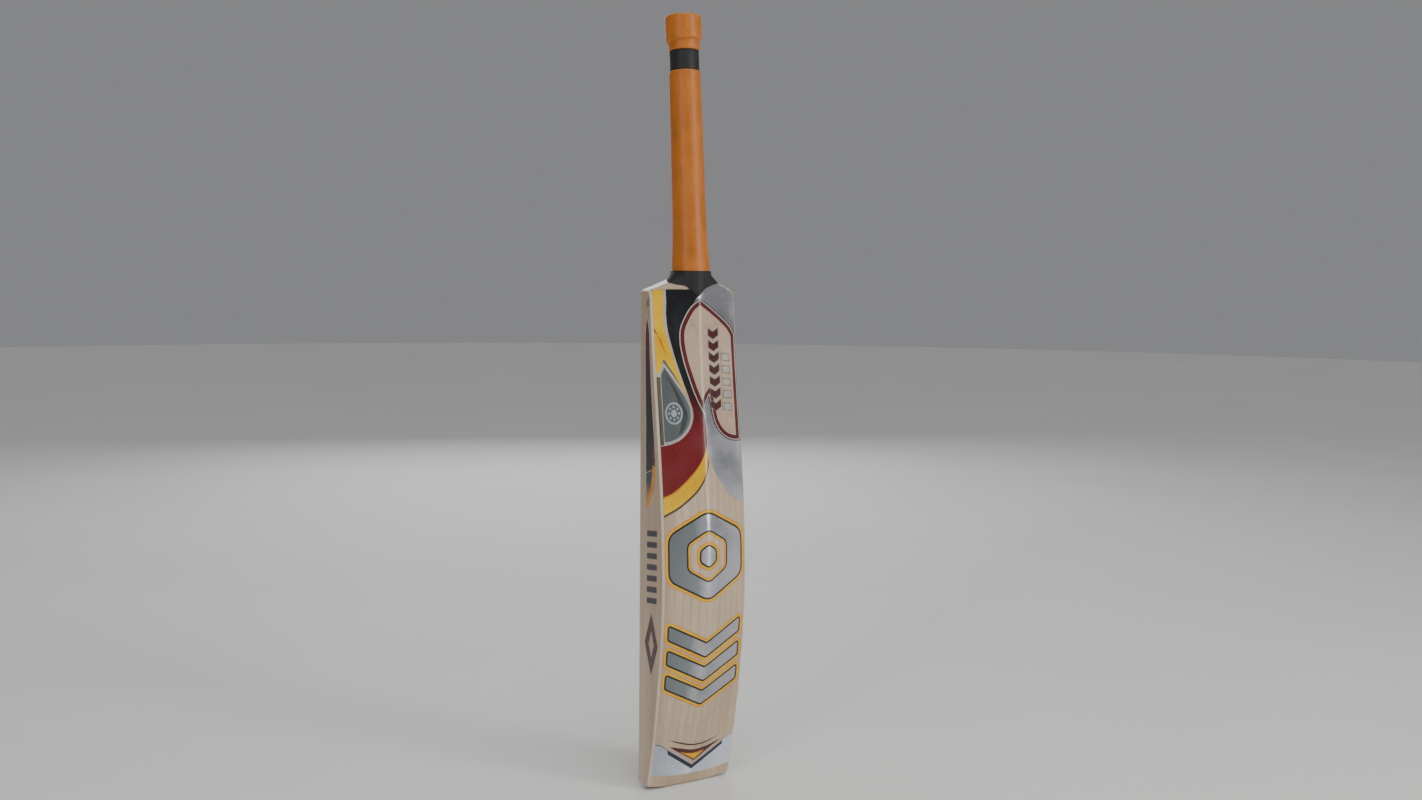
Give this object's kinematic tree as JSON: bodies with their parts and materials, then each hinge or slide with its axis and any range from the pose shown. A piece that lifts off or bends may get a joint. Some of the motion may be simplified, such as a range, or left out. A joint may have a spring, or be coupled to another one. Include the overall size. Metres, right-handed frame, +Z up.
{
  "type": "cricket bat",
  "caption": "Full-size cricket bat with a deep-edged willow blade, a spliced cane handle with rubber springs, a rubber grip and printed labels.",
  "frame": {"origin": "middle of the flat on the toe's end, which the bat stands on", "axes": "+Z up the bat from toe to handle, +Y out of the back (the spine side), -Y out of the hitting face, +X across the blade"},
  "size_m": [0.1076, 0.0877, 0.8551],
  "materials": {
    "willow": "sanded and oiled pale willow, satin",
    "cane": "split cane, glued and turned",
    "spring_rubber": "matt sheet rubber",
    "twine": "waxed linen thread, wound close",
    "grip_rubber": "matt moulded rubber with fine raised dots",
    "black_rubber": "matt black rubber",
    "label_print": "glossy printed film",
    "label_foil": "silver foil film, satin",
    "edge_print": "glossy printed film"
  },
  "bodies": {
    "root": {"blade": "willow", "cane_1_left": "cane", "cane_1_mid": "cane", "cane_1_right": "cane", "cane_2_left": "cane", "cane_2_mid": "cane", "cane_2_right": "cane", "cane_3_left": "cane", "cane_3_mid": "cane", "cane_3_right": "cane", "cane_4_left": "cane", "cane_4_mid": "cane", "cane_4_right": "cane", "spring_front": "spring_rubber", "spring_mid": "spring_rubber", "spring_back": "spring_rubber", "twine_binding": "twine", "grip": "grip_rubber", "band": "black_rubber", "cuff": "grip_rubber", "lower_collar": "black_rubber", "collar_tongue": "black_rubber", "label_swirl": "label_print", "label_panel": "label_print", "emblem_upper": "label_foil", "emblem_core": "label_foil", "emblem_lower": "label_foil", "label_toe": "label_foil", "edge_flash_left": "edge_print", "edge_bars_left": "edge_print", "edge_mark_left": "edge_print", "edge_flash_right": "edge_print", "edge_bars_right": "edge_print", "edge_mark_right": "edge_print"}
  },
  "joints": []
}
